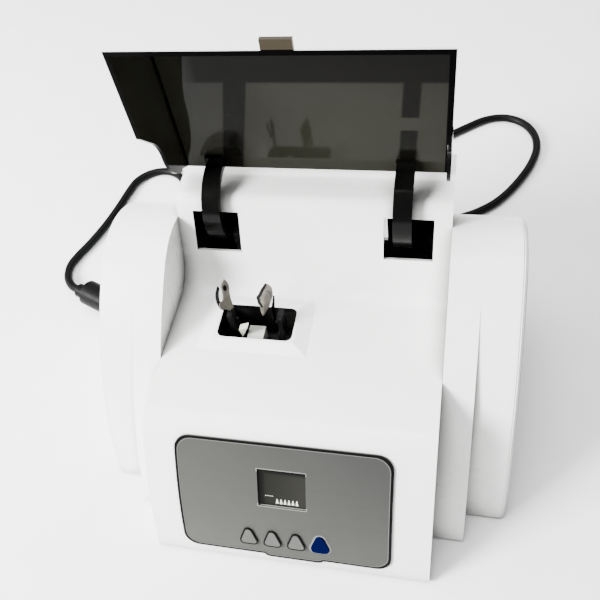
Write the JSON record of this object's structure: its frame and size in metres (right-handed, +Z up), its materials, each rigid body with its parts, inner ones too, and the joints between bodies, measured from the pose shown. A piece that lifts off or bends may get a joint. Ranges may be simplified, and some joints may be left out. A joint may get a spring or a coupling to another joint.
{
  "type": "dental amalgamator",
  "caption": "Bench mixer for dental capsules with a sloping key panel, side drums, a spring-held capsule fork in a deck well, a hinged smoke lid and a mains lead",
  "frame": {"origin": "middle of the footprint of the machine without its lead, on the table plane", "axes": "+X to the right of the operator, +Y from the key panel to the rear, +Z up"},
  "size_m": [0.3823, 0.4115, 0.2585],
  "materials": {
    "housing_plastic": "smooth satin gloss",
    "base_metal": "satin paint",
    "foot_rubber": "matte",
    "bright_steel": "brushed",
    "panel_film": "fine matte",
    "dark_lens": "gloss",
    "display_green": "matte",
    "key_grey": "matte",
    "key_blue": "matte",
    "board_green": "satin",
    "black_plastic": "matte",
    "smoke_plastic": "gloss, clear smoke",
    "arm_plastic": "gloss",
    "motor_steel": "satin",
    "bell_alloy": "cast satin",
    "weight_brass": "turned",
    "white_plastic": "matte",
    "capacitor_sleeve": "gloss",
    "cord_pvc": "satin",
    "pin_metal": "plated"
  },
  "bodies": {
    "housing": {"upper_shell": "housing_plastic", "inner_band_left": "housing_plastic", "inner_band_right": "housing_plastic", "end_cap_left": "housing_plastic", "end_cap_right": "housing_plastic", "base_plate": "base_metal", "motor_frame": "base_metal", "feet": "foot_rubber", "rubber_mounts": "foot_rubber", "foot_screws": "bright_steel", "board_screws": "bright_steel", "hinge_pins": "bright_steel", "hinge_brackets": "bright_steel", "motor_straps": "bright_steel", "spring_front": "bright_steel", "spring_rear": "bright_steel", "motor_bearings": "bright_steel", "control_panel": "panel_film", "display_lens": "dark_lens", "display_module": "display_green", "control_board": "board_green", "power_board": "board_green", "key_switches": "black_plastic", "lid_switch": "black_plastic", "well_liner": "black_plastic", "switch_frame": "black_plastic", "fuse_holder": "black_plastic", "motor_can": "motor_steel", "stator": "motor_steel", "transformer": "motor_steel", "front_bell": "bell_alloy", "rear_bell": "bell_alloy", "capacitors": "capacitor_sleeve", "strain_relief": "cord_pvc", "power_cord": "cord_pvc", "cord_coil": "cord_pvc", "cord_tail": "cord_pvc", "plug_body": "cord_pvc", "plug_pins": "pin_metal"},
    "lid": {"lid": "smoke_plastic", "lid_arm_left": "arm_plastic", "lid_arm_right": "arm_plastic"},
    "key_mode": {"key_mode": "key_grey"},
    "key_minus": {"key_minus": "key_grey"},
    "key_plus": {"key_plus": "key_grey"},
    "key_start": {"key_start": "key_blue"},
    "rotor": {"rotor_shaft": "bright_steel", "rotor_core": "motor_steel", "fan": "black_plastic", "counterweight": "weight_brass", "skewed_hub": "bright_steel", "inner_race": "bright_steel"},
    "fork": {"outer_race": "bright_steel", "mixing_arm": "bell_alloy", "prong_left": "bright_steel", "prong_right": "bright_steel", "prong_rivets": "bright_steel", "capsule_stop": "white_plastic"},
    "rocker": {"power_rocker": "black_plastic"}
  },
  "joints": [
    {"name": "lid_hinge", "type": "hinge", "parent": "housing", "child": "lid", "pos_m": [0, 0.07566, 0.123], "axis": [1, 0, 0], "range_deg": [0, 90]},
    {"name": "key_mode_press", "type": "slide", "parent": "housing", "child": "key_mode", "axis": [0, 0.9156, -0.402], "range_m": [0, 0.0005], "stiffness_N_per_m": 800, "springref_m": -0.0015},
    {"name": "key_minus_press", "type": "slide", "parent": "housing", "child": "key_minus", "axis": [0, 0.9156, -0.402], "range_m": [0, 0.0005], "stiffness_N_per_m": 800, "springref_m": -0.0015},
    {"name": "key_plus_press", "type": "slide", "parent": "housing", "child": "key_plus", "axis": [0, 0.9156, -0.402], "range_m": [0, 0.0005], "stiffness_N_per_m": 800, "springref_m": -0.0015},
    {"name": "key_start_press", "type": "slide", "parent": "housing", "child": "key_start", "axis": [0, 0.9156, -0.402], "range_m": [0, 0.0005], "stiffness_N_per_m": 800, "springref_m": -0.0015},
    {"name": "rotor_spin", "type": "hinge", "parent": "housing", "child": "rotor", "pos_m": [-0.0295, 0.00866, 0.042], "axis": [1, 0, 0], "continuous": true},
    {"name": "fork_swing", "type": "hinge", "parent": "housing", "child": "fork", "pos_m": [-0.0295, 0.00866, 0.042], "axis": [0, 1, 0], "range_deg": [-5, 5], "stiffness_Nm_per_rad": 1.2},
    {"name": "rocker_tilt", "type": "hinge", "parent": "housing", "child": "rocker", "pos_m": [-0.051, 0.10066, 0.042], "axis": [1, 0, 0], "range_deg": [-16, 0]}
  ]
}
